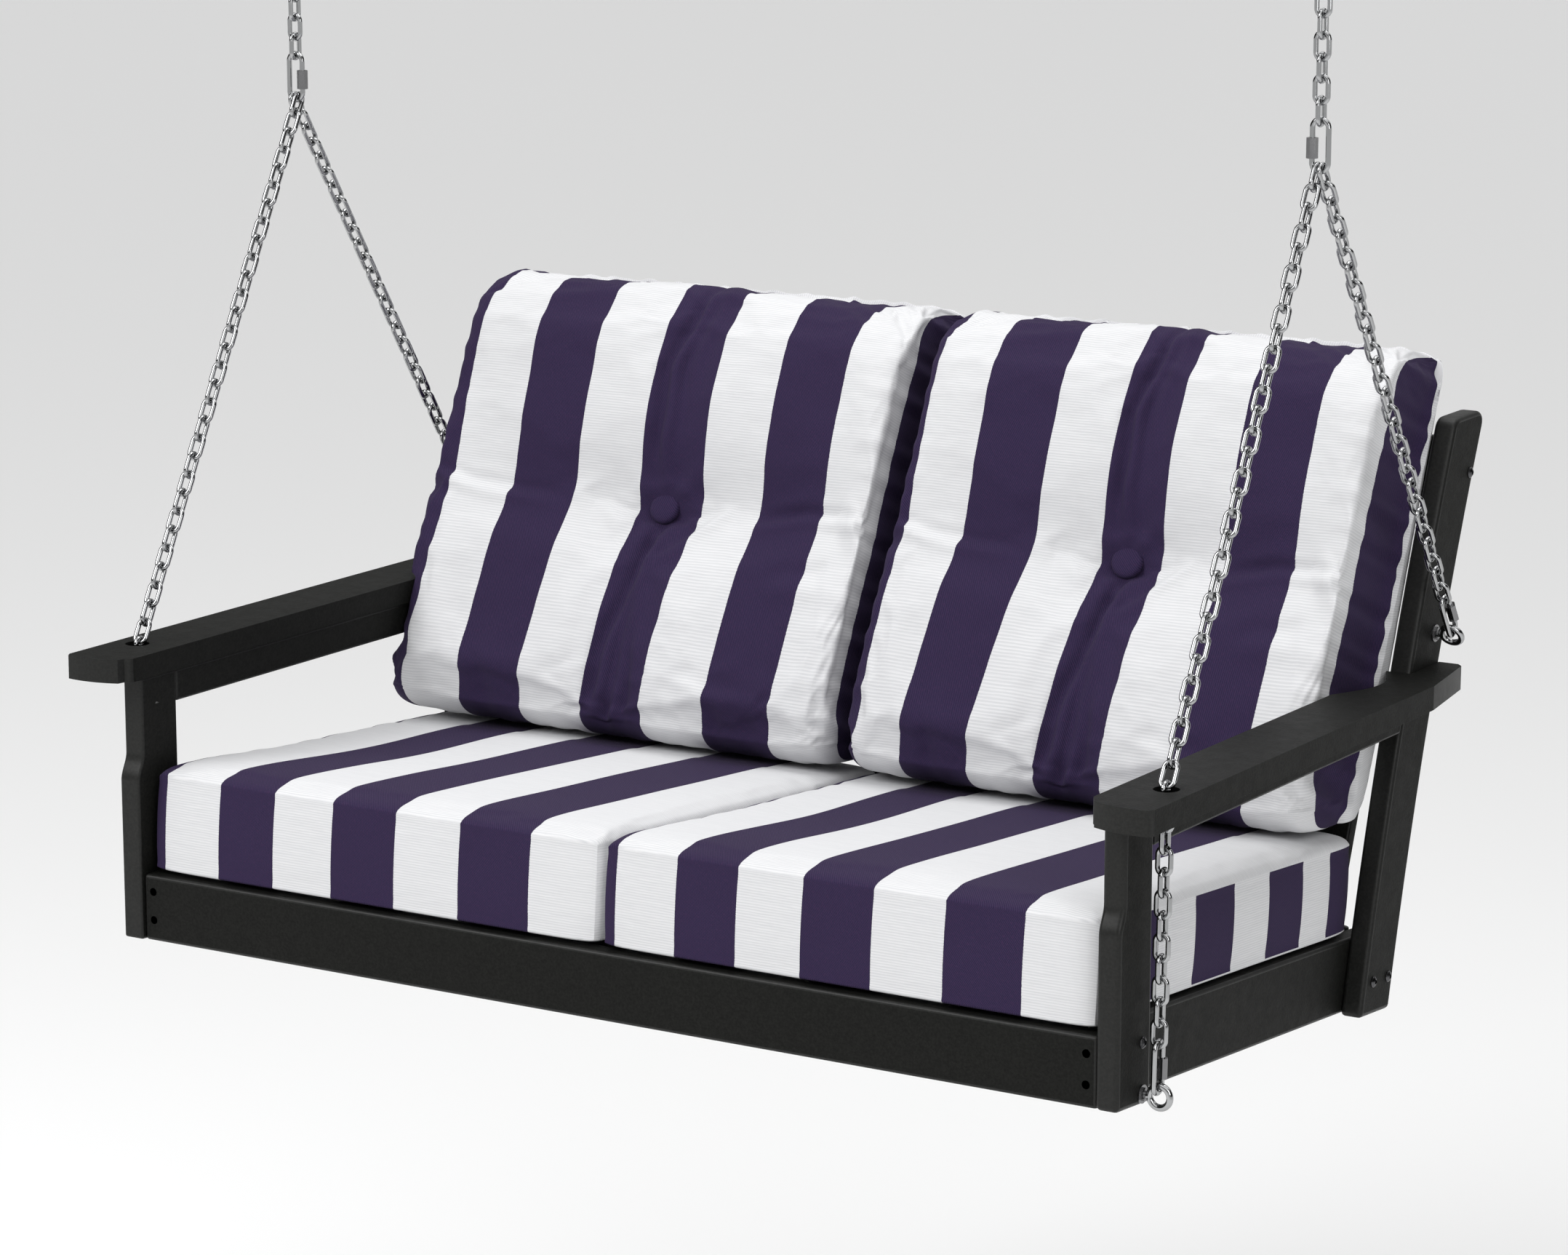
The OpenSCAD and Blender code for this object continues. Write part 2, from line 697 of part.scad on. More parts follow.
module back_cushion(s) color("#4a4560") in_place() side(s) difference() {
    upright(mid_gap, cushion_w) back_cushion_outline();
    at_button() cylinder(d1 = tuft_d[0], d2 = tuft_d[1], h = button_sink);
    at_button() translate([0, 0, button_sink - 0.1]) cylinder(d = tuft_d[1], h = back_cushion_r);
}

// The foot of the hollow that a button is drawn into, with +Z pointing out of the front.
module at_button() {
    p = belly + button_up * unit(brow - belly);
    translate([mid_gap + cushion_w / 2, p[0], p[1]]) rotate([90 - front_angle, 0, 0])
        translate([0, 0, -button_sink]) children();
}

module cushion_button(s) color("#3a3550") in_place() side(s) at_button() rotate_extrude()
    polygon(concat([[0, button_lift], [button_d / 2 - button_bevel, button_lift]],
        [for (a = [0 : 15 : 75]) [button_d / 2 * cos(a), button_bevel + button_dome * sin(a)]],
        [[0, button_bevel + button_dome]]));

// --- Nodes ---

ceiling_screw_eyes();
top_quick_link(LEFT);  // left_top_quick_link
top_quick_link(RIGHT);  // right_top_quick_link
top_sleeve(LEFT);  // left_top_sleeve
top_sleeve(RIGHT);  // right_top_sleeve
upper_chain(LEFT);  // left_upper_chain
upper_chain(RIGHT);  // right_upper_chain
junction_quick_link(LEFT);  // left_junction_quick_link
junction_quick_link(RIGHT);  // right_junction_quick_link
junction_sleeve(LEFT);  // left_junction_sleeve
junction_sleeve(RIGHT);  // right_junction_sleeve
front_chain(LEFT);  // left_front_chain
front_chain(RIGHT);  // right_front_chain
back_chain(LEFT);  // left_back_chain
back_chain(RIGHT);  // right_back_chain
front_quick_link(LEFT);  // left_front_quick_link
front_quick_link(RIGHT);  // right_front_quick_link
back_quick_link(LEFT);  // left_back_quick_link
back_quick_link(RIGHT);  // right_back_quick_link
front_sleeve(LEFT);  // left_front_sleeve
front_sleeve(RIGHT);  // right_front_sleeve
back_sleeve(LEFT);  // left_back_sleeve
back_sleeve(RIGHT);  // right_back_sleeve
eye_bolts();
eye_bolt_washers();
eye_bolt_nuts();
front_post(LEFT);  // left_front_post
front_post(RIGHT);  // right_front_post
back_leg(LEFT);  // left_back_leg
back_leg(RIGHT);  // right_back_leg
arm(LEFT);  // left_arm
arm(RIGHT);  // right_arm
arm_brace(LEFT);  // left_arm_brace
arm_brace(RIGHT);  // right_arm_brace
front_rail();
rear_rail();
side_rail(LEFT);  // left_side_rail
side_rail(RIGHT);  // right_side_rail
centre_seat_support();
seat_slat_cleats();
seat_slats();
back_top_rail();
back_slats();
frame_bolts();
frame_bolt_nuts();
rail_end_screws();
arm_screws();
slat_screws();
seat_cushion(LEFT);  // left_seat_cushion
seat_cushion(RIGHT);  // right_seat_cushion
back_cushion(LEFT);  // left_back_cushion
back_cushion(RIGHT);  // right_back_cushion
cushion_button(LEFT);  // left_cushion_button
cushion_button(RIGHT);  // right_cushion_button
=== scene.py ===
"""Looks for the hanging porch swing seat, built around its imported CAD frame.

Metres, in the row frame: +X right, +Y back, +Z up, origin on the ceiling midway between the
two screw eyes. Places on the seat are written in the seat's own frame, whose origin is at the
feet of the front posts, and carried over by seat().
"""

import math

import bmesh
import bpy
import numpy as np
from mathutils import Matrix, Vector, noise


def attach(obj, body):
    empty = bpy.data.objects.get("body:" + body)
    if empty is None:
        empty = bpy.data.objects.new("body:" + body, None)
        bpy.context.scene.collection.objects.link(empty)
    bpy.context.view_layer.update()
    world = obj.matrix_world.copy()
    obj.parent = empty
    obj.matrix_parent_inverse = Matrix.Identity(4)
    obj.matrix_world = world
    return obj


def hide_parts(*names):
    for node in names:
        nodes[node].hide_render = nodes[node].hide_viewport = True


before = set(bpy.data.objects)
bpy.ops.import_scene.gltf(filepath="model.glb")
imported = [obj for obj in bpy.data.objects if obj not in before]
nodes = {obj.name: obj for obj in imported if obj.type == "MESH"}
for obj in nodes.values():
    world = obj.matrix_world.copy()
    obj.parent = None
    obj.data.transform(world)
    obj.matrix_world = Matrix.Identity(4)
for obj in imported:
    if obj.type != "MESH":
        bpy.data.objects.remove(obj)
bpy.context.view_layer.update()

HANG_Y, CEILING_Z = 0.389, 1.2412  # the row frame's origin, in the seat's frame
TILT = math.radians(4.75)  # the seat falls this much to the back


def seat(x, y, z):
    """A place given in the seat's own frame, in the row frame."""
    return Vector((x, y - HANG_Y, z - CEILING_Z))


# --- Camera, light and floor ---

# fitted to the corners and edges of the boards in the photograph
CAMERA_AT = (2.9142, -4.375, 1.5732)
CAMERA_ABOVE, CAMERA_RIGHT = 12.196, 31.3755
CAMERA_LENS = 115.07


def add_camera():
    data = bpy.data.cameras.new("camera")
    data.sensor_width = 36.0
    data.lens = CAMERA_LENS
    data.clip_end = 60.0
    obj = bpy.data.objects.new("camera", data)
    obj.location = seat(*CAMERA_AT)
    obj.rotation_euler = (math.radians(90 - CAMERA_ABOVE), 0.0, math.radians(CAMERA_RIGHT))
    bpy.context.scene.collection.objects.link(obj)
    bpy.context.scene.camera = obj


SWING_MIDDLE = (0, 0, -0.9)


def add_area(name, place, size, power):
    """A soft rectangular light that faces the middle of the swing."""
    data = bpy.data.lights.new(name, "AREA")
    data.shape = "RECTANGLE"
    data.size, data.size_y = size
    data.energy = power
    obj = bpy.data.objects.new(name, data)
    obj.location = place
    obj.rotation_euler = (Vector(SWING_MIDDLE) - Vector(place)).to_track_quat("-Z", "Y").to_euler()
    bpy.context.scene.collection.objects.link(obj)


# brightness of the sky from its lowest to its highest point, and from left to right
SKY_BY_HEIGHT = ((0.0, 0.9), (0.50, 0.75), (0.56, 0.70), (0.60, 0.05),
                 (0.70, 0.04), (0.76, 1.0), (0.92, 1.1), (1.0, 0.5))
SKY_BY_SIDE = ((0.0, 0.06), (0.16, 0.10), (0.26, 1.0), (0.74, 1.0), (0.84, 0.10), (1.0, 0.06))
SKY_STRENGTH = 1.25


def add_world():
    """A soft studio sky in bands, dark at the sides, so that polished steel has something to mirror."""
    world = bpy.data.worlds.new("studio")
    bpy.context.scene.world = world
    world.use_nodes = True
    tree = world.node_tree
    tree.nodes.clear()
    out = tree.nodes.new("ShaderNodeOutputWorld")
    back = tree.nodes.new("ShaderNodeBackground")
    split = tree.nodes.new("ShaderNodeSeparateXYZ")
    coord = tree.nodes.new("ShaderNodeTexCoord")
    product = tree.nodes.new("ShaderNodeMix")
    product.data_type, product.blend_type = "RGBA", "MULTIPLY"
    product.inputs[0].default_value = 1.0
    tree.links.new(coord.outputs["Generated"], split.inputs[0])
    for axis, slot, stops in (("Z", 6, SKY_BY_HEIGHT), ("X", 7, SKY_BY_SIDE)):
        span = tree.nodes.new("ShaderNodeMapRange")
        span.inputs["From Min"].default_value = -1.0
        ramp = tree.nodes.new("ShaderNodeValToRGB")
        tree.links.new(split.outputs[axis], span.inputs["Value"])
        tree.links.new(span.outputs[0], ramp.inputs[0])
        tree.links.new(ramp.outputs[0], product.inputs[slot])
        while len(ramp.color_ramp.elements) < len(stops):
            ramp.color_ramp.elements.new(0.5)
        for element, (at, tone) in zip(ramp.color_ramp.elements, stops):
            element.position = at
            element.color = (tone, tone, tone, 1.0)
    tree.links.new(product.outputs[2], back.inputs["Color"])
    tree.links.new(back.outputs[0], out.inputs[0])
    back.inputs["Strength"].default_value = SKY_STRENGTH


FLOOR_Z, FLOOR_REACH = -2.05, 40.0


def add_floor():
    mesh = bpy.data.meshes.new("floor")
    corners = [(sx * FLOOR_REACH, sy * FLOOR_REACH, FLOOR_Z)
               for sx, sy in ((-1, -1), (1, -1), (1, 1), (-1, 1))]
    mesh.from_pydata(corners, [], [(0, 1, 2, 3)])
    obj = bpy.data.objects.new("floor", mesh)
    bpy.context.scene.collection.objects.link(obj)
    mat = bpy.data.materials.new("floor")
    mat.use_nodes = True
    shader = mat.node_tree.nodes["Principled BSDF"]
    shader.inputs["Base Color"].default_value = (0.93, 0.93, 0.93, 1.0)
    shader.inputs["Specular IOR Level"].default_value = 0.0
    shader.inputs["Roughness"].default_value = 0.9
    mesh.materials.append(mat)


add_camera()
add_world()
add_floor()
add_area("key", (-2.6, -3.4, 2.2), (2.4, 2.4), 120)
add_area("fill", (3.6, -2.2, 0.6), (2.0, 2.4), 45)
add_area("top", (0.2, 0.6, 2.6), (2.6, 1.6), 42)
view = bpy.context.scene.view_settings
view.view_transform = "Standard"
view.look = "None"


# --- Materials ---

class Shader:
    """A Principled material with short names for the nodes that feed it."""

    def __init__(self, name, **values):
        self.mat = bpy.data.materials.new(name)
        self.mat.use_nodes = True
        self.tree = self.mat.node_tree
        self.bsdf = self.tree.nodes["Principled BSDF"]
        for key, value in values.items():
            self.bsdf.inputs[key.replace("_", " ")].default_value = value

    def node(self, kind, _ins=None, **attrs):
        n = self.tree.nodes.new("ShaderNode" + kind)
        for key, value in attrs.items():
            setattr(n, key, value)
        for key, value in (_ins or {}).items():
            if hasattr(value, "links"):
                self.tree.links.new(value, n.inputs[key])
            else:
                n.inputs[key].default_value = value
        return n

    def math(self, op, a, b=0.0):
        return self.node("Math", {0: a, 1: b}, operation=op).outputs[0]

    def mix(self, factor, a, b):
        n = self.node("Mix", {0: factor}, data_type="RGBA")
        for slot, value in ((6, a), (7, b)):
            if hasattr(value, "links"):
                self.tree.links.new(value, n.inputs[slot])
            else:
                n.inputs[slot].default_value = (*value, 1.0)
        return n.outputs[2]

    def noise(self, vector, scale, detail=2.0, rough=0.5):
        n = self.node("TexNoise", {"Scale": scale, "Detail": detail, "Roughness": rough})
        self.tree.links.new(vector, n.inputs["Vector"])
        return n.outputs[0]

    def stretch(self, vector, scale):
        return self.node("Mapping", {"Vector": vector, "Scale": scale}).outputs[0]

    def span(self, value, low, high, to_low=0.0, to_high=1.0):
        return self.node("MapRange", {0: value, 1: low, 2: high, 3: to_low, 4: to_high}).outputs[0]

    def bump(self, height, distance, strength=1.0):
        ins = {"Height": height, "Distance": distance, "Strength": strength}
        return self.node("Bump", ins).outputs[0]

    def wave(self, along, length, drift):
        """A sine along a coordinate, one turn per length, pushed about by drift."""
        turns = self.math("MULTIPLY", along, 2 * math.pi / length)
        return self.math("SINE", self.math("ADD", turns, drift))

    def into(self, key, value):
        self.tree.links.new(value, self.bsdf.inputs[key])


STRIPE = 0.174  # one white and one navy stripe together
RIB, TWILL = 0.0031, 0.0024  # from rib to rib of the white weave, and line to line of the navy


def fabric_material():
    s = Shader("striped_fabric", Roughness=0.88, Specular_IOR_Level=0.10,
               Sheen_Weight=0.03, Sheen_Roughness=0.5)
    uv = s.node("UVMap", uv_map="fabric").outputs[0]
    split = s.node("SeparateXYZ", {0: uv})
    u, v = split.outputs[0], split.outputs[1]
    # the woven edge of a stripe wanders by a thread
    edge = s.noise(s.stretch(uv, (300.0, 900.0, 1.0)), 1.0, 1.0)
    shifted = s.math("ADD", u, s.span(edge, 0.0, 1.0, -0.0006, 0.0006))
    turn = s.math("FRACT", s.math("DIVIDE", shifted, STRIPE))
    away = s.math("ABSOLUTE", s.math("SUBTRACT", turn, 0.25))
    white = s.span(away, 0.2488, 0.2512)
    # white: uneven ribs across the stripes, of thick and thin threads
    slub = s.noise(s.stretch(uv, (26.0, 430.0, 1.0)), 1.0, 3.0, 0.6)
    rib = s.wave(v, RIB, s.math("MULTIPLY", slub, 5.0))
    fine = s.noise(s.stretch(uv, (1500.0, 1500.0, 1.0)), 1.0, 2.0, 0.7)
    thick = s.math("MULTIPLY", s.math("MULTIPLY", rib, slub), 0.45)
    rib_height = s.math("ADD", thick, s.math("MULTIPLY", fine, 0.5))
    # navy: twill lines on the diagonal
    slant = s.math("ADD", u, s.math("MULTIPLY", v, 0.75))
    broken = s.noise(s.stretch(uv, (380.0, 380.0, 1.0)), 1.0, 2.0)
    twill = s.wave(slant, TWILL, s.math("MULTIPLY", broken, 2.5))
    twill_height = s.math("ADD", s.math("MULTIPLY", twill, 0.35), s.math("MULTIPLY", fine, 0.45))
    # colours
    cloud = s.noise(s.stretch(uv, (9.0, 9.0, 1.0)), 1.0, 2.0)
    # painted light and shade: the white is lighter on the rib crests and darker in the hollows between
    # them
    painted_rib_light = s.span(s.math("MULTIPLY", slub, rib), -0.5, 0.6)
    pale = s.mix(painted_rib_light, (0.62, 0.625, 0.64), (0.74, 0.74, 0.75))
    fleck = s.span(s.noise(s.stretch(uv, (700.0, 260.0, 1.0)), 1.0, 3.0, 0.75), 0.52, 0.72)
    dark = s.mix(s.span(twill, -1.0, 1.0), (0.020, 0.0135, 0.043), (0.042, 0.029, 0.076))
    dark = s.mix(s.math("MULTIPLY", fleck, 0.5), dark, (0.075, 0.030, 0.085))
    dark = s.mix(s.math("MULTIPLY", cloud, 0.35), dark, (0.024, 0.014, 0.040))
    s.into("Base Color", s.mix(white, dark, pale))
    height = s.node("Mix", {0: white}, data_type="FLOAT")
    s.tree.links.new(twill_height, height.inputs[2])
    s.tree.links.new(rib_height, height.inputs[3])
    s.into("Normal", s.bump(height.outputs[0], 0.00028, 0.75))
    return s.mat


def board_material(name, pebbles, tone, rough, gloss):
    """Dark plastic lumber: pebbled where it was extruded, smooth where it was cut."""
    s = Shader(name, Specular_IOR_Level=gloss)
    place = s.node("TexCoord").outputs["Object"]
    grain = s.noise(place, 900.0, 3.0, 0.6)
    blobs = s.noise(place, 330.0, 2.0, 0.5)
    drift = s.noise(place, 7.0, 3.0, 0.55)
    streak = s.noise(s.stretch(place, (60.0, 60.0, 60.0)), 1.0, 4.0, 0.6)
    spread = s.math("ADD", s.math("MULTIPLY", blobs, 0.6), s.math("MULTIPLY", grain, 0.4))
    base = s.mix(s.span(spread, 0.38, 0.66), tuple(0.8 * t for t in tone), tuple(2.0 * t for t in tone))
    base = s.mix(s.math("MULTIPLY", drift, 0.4), base, tuple(0.7 * t for t in tone))
    s.into("Base Color", base)
    uneven = s.math("ADD", s.math("MULTIPLY", streak, 0.5), s.math("MULTIPLY", grain, 0.5))
    s.into("Roughness", s.span(uneven, 0.3, 0.7, rough - 0.07, rough + 0.09))
    s.into("Normal", s.bump(spread, pebbles, 1.0))
    return s.mat


def metal_material(name, tone, rough, scratch=0.00002):
    s = Shader(name, Metallic=1.0)
    place = s.node("TexCoord").outputs["Object"]
    smear = s.noise(place, 55.0, 3.0, 0.6)
    fine = s.noise(s.stretch(place, (1500.0, 1500.0, 260.0)), 1.0, 2.0, 0.6)
    s.into("Base Color", s.mix(smear, tuple(0.9 * t for t in tone), tone))
    s.into("Roughness", s.span(smear, 0.3, 0.75, rough * 0.7, rough * 1.5))
    s.into("Normal", s.bump(fine, scratch, 0.6))
    return s.mat


FABRIC = fabric_material()
BOARD = board_material("board_pebbled", 0.00045, (0.0062, 0.0064, 0.0056), 0.56, 0.12)
BOARD_CUT = board_material("board_cut", 0.00008, (0.0080, 0.0082, 0.0074), 0.42, 0.28)
CHROME = metal_material("polished_steel", (0.42, 0.425, 0.43), 0.085)
SATIN = metal_material("satin_steel", (0.24, 0.24, 0.245), 0.22, 0.00005)
BOLT = metal_material("dark_bolt_steel", (0.10, 0.10, 0.105), 0.26)
BLACK_SCREW = board_material("black_screw_coating", 0.00001, (0.030, 0.030, 0.030), 0.40, 0.35)


def clad(names, mat):
    for n in names:
        mesh = nodes[n].data
        mesh.materials.clear()
        mesh.materials.append(mat)


chain_words = ("chain", "quick_link", "screw_eyes", "eye_bolts")
for node_name in nodes:
    if "sleeve" in node_name or node_name in ("eye_bolt_washers", "eye_bolt_nuts"):
        clad([node_name], SATIN)
    elif any(w in node_name for w in chain_words):
        clad([node_name], CHROME)
clad(["frame_bolts", "frame_bolt_nuts"], BOLT)
clad(["rail_end_screws", "arm_screws", "slat_screws"], BLACK_SCREW)


def finish_piece(obj, body, slot, *replaced):
    bpy.context.scene.collection.objects.link(obj)
    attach(obj, body)
    if replaced:
        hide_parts(*replaced)
    return obj


# --- Boards: the CAD boards with the rounded edges that a router leaves ---

# (y, z) on the seat of the bolt holes, whose edges stay sharp
BORES = [(0.0541, 0.063), (0.0545, 0.0075), (0.6212, -0.013), (0.6607, -0.0162),
         (0.851, 0.5352), (0.7655, 0.363)]
BORE_REACH = 0.0125
CORNER_REACH = 0.012
SHARP = math.radians(38)


def in_bore(p):
    """True near the axis of a bolt hole, all of which run along X."""
    q = (p.y + HANG_Y, p.z + CEILING_Z)
    return any(math.dist(q, b) < BORE_REACH for b in BORES)


def middle(edge):
    return 0.5 * (edge.verts[0].co + edge.verts[1].co)


def rounded_board(node, radius, cut=None, corners=(), segments=4):
    """A copy of a CAD board with rounded edges. cut(normal, centre) picks the faces that a saw
    or router made, and corners are (place, radius) for edges along X with a larger rounding."""
    bm = bmesh.new()
    bm.from_mesh(nodes[node].data)
    bmesh.ops.remove_doubles(bm, verts=bm.verts, dist=2e-5)
    bmesh.ops.dissolve_limit(bm, angle_limit=math.radians(0.6), verts=bm.verts, edges=bm.edges)
    for place, r in corners:
        near = [e for e in bm.edges if abs(e.verts[0].co.x - e.verts[1].co.x) > 0.02
                and (middle(e) - seat(0, *place)).yz.length < CORNER_REACH]
        if near:
            bmesh.ops.bevel(bm, geom=near, offset=r, segments=6, profile=0.5,
                            affect="EDGES", clamp_overlap=True)
    bm.normal_update()
    for f in bm.faces:
        f.material_index = 1 if cut and cut(f.normal, f.calc_center_median()) else 0
    sharp = [e for e in bm.edges if len(e.link_faces) == 2
             and e.calc_face_angle(0.0) > SHARP and not in_bore(middle(e))]
    bmesh.ops.bevel(bm, geom=sharp, offset=radius, segments=segments, profile=0.5, affect="EDGES",
                    clamp_overlap=True, material=1, miter_outer="ARC")
    mesh = bpy.data.meshes.new(node + "_rounded")
    bm.to_mesh(mesh)
    bm.free()
    mesh.materials.append(BOARD)
    mesh.materials.append(BOARD_CUT)
    mesh.polygons.foreach_set("use_smooth", [True] * len(mesh.polygons))
    mesh.set_sharp_from_angle(angle=math.radians(40))
    obj = bpy.data.objects.new(node + "_rounded", mesh)
    weighted = obj.modifiers.new("weighted", "WEIGHTED_NORMAL")
    weighted.keep_sharp = True
    return finish_piece(obj, "seat", "board", node)


def edge_cut(normal, centre):
    """The sawn outline of a post or leg: every face that doesn't face left or right."""
    return abs(normal.x) < 0.5


def arm_cut(normal, centre):
    y = centre.y + HANG_Y
    return abs(normal.z) < 0.5 and (y < -0.005 or y > 0.655)


# (y, z) and radius of the two rounded corners at the top of a leg
LEG_CORNERS = [((0.810, 0.603), 0.010), ((0.893, 0.603), 0.022)]

for side_name in ("left", "right"):
    rounded_board(side_name + "_arm", 0.0058, arm_cut, segments=5)
    rounded_board(side_name + "_front_post", 0.0055, edge_cut)
    rounded_board(side_name + "_back_leg", 0.0055, edge_cut, LEG_CORNERS)
    rounded_board(side_name + "_arm_brace", 0.003)
    rounded_board(side_name + "_side_rail", 0.004)
for node_name, radius in (("front_rail", 0.004), ("rear_rail", 0.003), ("back_top_rail", 0.004),
                          ("seat_slats", 0.003), ("back_slats", 0.003),
                          ("seat_slat_cleats", 0.002), ("centre_seat_support", 0.002)):
    rounded_board(node_name, radius, segments=3)


# --- Cushions ---

def spread(n):
    """Steps from -1 to 1 that crowd toward both ends, where a cushion turns over its edge."""
    s = np.linspace(-1, 1, n + 1)
    return 0.06 * s + 0.94 * np.sin(0.5 * math.pi * s)


def smooth(x, low, high):
    t = np.clip((x - low) / (high - low), 0, 1)
    return t * t * (3 - 2 * t)


def waves(s, seed, lengths):
    """Uneven ripples along a seam, s in metres, between about -1 and 1."""
    total = 0
    for k, (length, size) in enumerate(zip(lengths, (1.0, 0.7, 0.4))):
        total = total + np.sin(2 * math.pi * s / length + 1.7 * seed + 2.3 * k) * size
    return total / 1.7


def near_edge(w, half, reach):
    """1 at a panel's edge, where w is -1 or 1, fading over about reach metres inward."""
    return np.exp(-(1 - np.abs(w)) * half / reach)


def rim(nu, nv):
    """The (i, j) of a grid's edge, once around: front, right, rear, left."""
    return ([(i, 0) for i in range(nu)] + [(nu, j) for j in range(nv)]
            + [(i, nv) for i in range(nu, 0, -1)] + [(0, j) for j in range(nv, 0, -1)])


def rim_outward(edge, nu, nv, up):
    """Unit directions out of a rim: X across the panel, and up, in (y, z), along it."""
    out = np.zeros((len(edge), 3))
    for k, (i, j) in enumerate(edge):
        out[k, 0] = -1 if i == 0 else 1 if i == nu else 0
        out[k, 1:] = (-1 if j == 0 else 1 if j == nv else 0) * up
    return out / np.linalg.norm(out, axis=1)[:, None]


def closed_pad(name, top, low, band, top_uv, low_uv, band_uv, levels=1):
    """One closed mesh from a top grid, an underside grid and the band that joins their rims.
    The grids are arrays of shape (nu+1, nv+1, 3); band is a list of rings between the rims."""
    nu, nv = top.shape[0] - 1, top.shape[1] - 1
    edge = rim(nu, nv)
    count = len(edge)
    per = (nu + 1) * (nv + 1)
    verts = np.concatenate([top.reshape(-1, 3), low.reshape(-1, 3)] + [np.asarray(r) for r in band])

    def at(i, j, base=0):
        return base + i * (nv + 1) + j

    faces, uvs = [], []
    for i in range(nu):
        for j in range(nv):
            faces.append((at(i, j), at(i + 1, j), at(i + 1, j + 1), at(i, j + 1)))
            uvs.append([top_uv[i, j], top_uv[i + 1, j], top_uv[i + 1, j + 1], top_uv[i, j + 1]])
            faces.append((at(i, j, per), at(i, j + 1, per), at(i + 1, j + 1, per), at(i + 1, j, per)))
            uvs.append([low_uv[i, j], low_uv[i, j + 1], low_uv[i + 1, j + 1], low_uv[i + 1, j]])
    rows = [[at(i, j) for i, j in edge]]
    rows += [[2 * per + r * count + k for k in range(count)] for r in range(len(band))]
    rows += [[at(i, j, per) for i, j in edge]]
    for r in range(len(rows) - 1):
        for k in range(count):
            n = (k + 1) % count
            faces.append((rows[r][k], rows[r + 1][k], rows[r + 1][n], rows[r][n]))
            uvs.append([band_uv(r, k, 0), band_uv(r + 1, k, 0), band_uv(r + 1, k, 1), band_uv(r, k, 1)])
    mesh = bpy.data.meshes.new(name)
    mesh.from_pydata([tuple(v) for v in verts], [], faces)
    layer = mesh.uv_layers.new(name="fabric")
    layer.data.foreach_set("uv", np.array(uvs, float).reshape(-1))
    mesh.materials.append(FABRIC)
    mesh.polygons.foreach_set("use_smooth", [True] * len(mesh.polygons))
    mesh.update()
    obj = bpy.data.objects.new(name, mesh)
    if levels:
        fine = obj.modifiers.new("fine", "SUBSURF")
        fine.levels = fine.render_levels = levels
    return obj


CLOTH_FRAMES = 16
CLOTH_STIFFNESS = 8.0
ON_RIM = 0.9999


def settle(grid, pinned, cap, pressure, growth):
    """Runs a panel's cloth: the pinned points hold still, the rest is blown up along +Z and has a
    little more cloth than it needs. grid is (nu+1, nv+1, 3); no point moves further than cap."""
    n, m = grid.shape[:2]
    mesh = bpy.data.meshes.new("panel")
    faces = [(i * m + j, (i + 1) * m + j, (i + 1) * m + j + 1, i * m + j + 1)
             for i in range(n - 1) for j in range(m - 1)]
    start = grid.reshape(-1, 3)
    mesh.from_pydata([tuple(p) for p in start], [], faces)
    obj = bpy.data.objects.new("panel", mesh)
    scene = bpy.context.scene
    scene.collection.objects.link(obj)
    if mesh.polygons[len(faces) // 2].normal.z < 0:
        mesh.flip_normals()
    held = obj.vertex_groups.new(name="held")
    held.add([int(k) for k in np.flatnonzero(pinned.reshape(-1))], 1.0, "REPLACE")
    cloth = obj.modifiers.new("cloth", "CLOTH")
    cloth.point_cache.frame_start, cloth.point_cache.frame_end = 1, CLOTH_FRAMES
    c = cloth.settings
    c.quality = 5
    c.mass = 0.25
    c.tension_stiffness = c.compression_stiffness = CLOTH_STIFFNESS
    c.shear_stiffness = 0.6 * CLOTH_STIFFNESS
    c.bending_stiffness = 0.6
    c.use_pressure = True
    c.uniform_pressure_force = pressure
    c.shrink_min = -growth
    c.vertex_group_mass = "held"
    c.effector_weights.gravity = 0.0
    cloth.collision_settings.use_collision = False
    for k in range(1, CLOTH_FRAMES + 1):
        scene.frame_set(k)
    done = obj.evaluated_get(bpy.context.evaluated_depsgraph_get())
    end = np.empty(len(start) * 3)
    done.data.vertices.foreach_get("co", end)
    move = end.reshape(-1, 3) - start
    size = np.linalg.norm(move, axis=1, keepdims=True)
    move *= cap * np.tanh(size / cap) / np.maximum(size, 1e-9)
    bpy.data.objects.remove(obj)
    bpy.data.meshes.remove(mesh)
    scene.frame_set(1)
    return (start + move).reshape(grid.shape)


def crown(u, v, n):
    """1 over a panel, falling to 0 at its edges, which are the squarer the larger n is."""
    return ((1 - np.abs(u) ** n).clip(0) * (1 - np.abs(v) ** n).clip(0)) ** 0.5


def lumps(points, scale, seed):
    return np.array([noise.noise(Vector((x / scale, y / scale, z / scale + seed)))
                     for x, y, z in points])


MID = 0.3085  # from the middle of the seat to the middle of a cushion
HALF_X = 0.3072

# seat cushions: measured stripe edges across the cushion, and along its side
ACROSS = [-0.287, -0.209, -0.132, -0.051, 0.036, 0.123, 0.2175, 0.310]
ALONG = [0.0475, 0.1345, 0.222, 0.316, 0.401, 0.486, 0.554, 0.6235]


def stripe_map(values, edges, first):
    """Carries measured stripe edges to even half periods, so that one pattern serves all panels."""
    k = (np.arange(len(edges)) + first) * STRIPE / 2
    out = np.interp(values, edges, k)
    out = np.where(values < edges[0], k[0] + (values - edges[0]), out)
    return np.where(values > edges[-1], k[-1] + (values - edges[-1]), out)


SEAT_Y0, SEAT_Y1 = 0.0045, 0.6195
SEAT_LOW, SEAT_SEAM, SEAT_TOP = 0.0800, 0.1930, 0.2072
SEAT_GRID, SEAT_RINGS = 90, 16
SAT_ON = (-0.19, 0.28)  # x and y of the hollow in a seat cushion's top


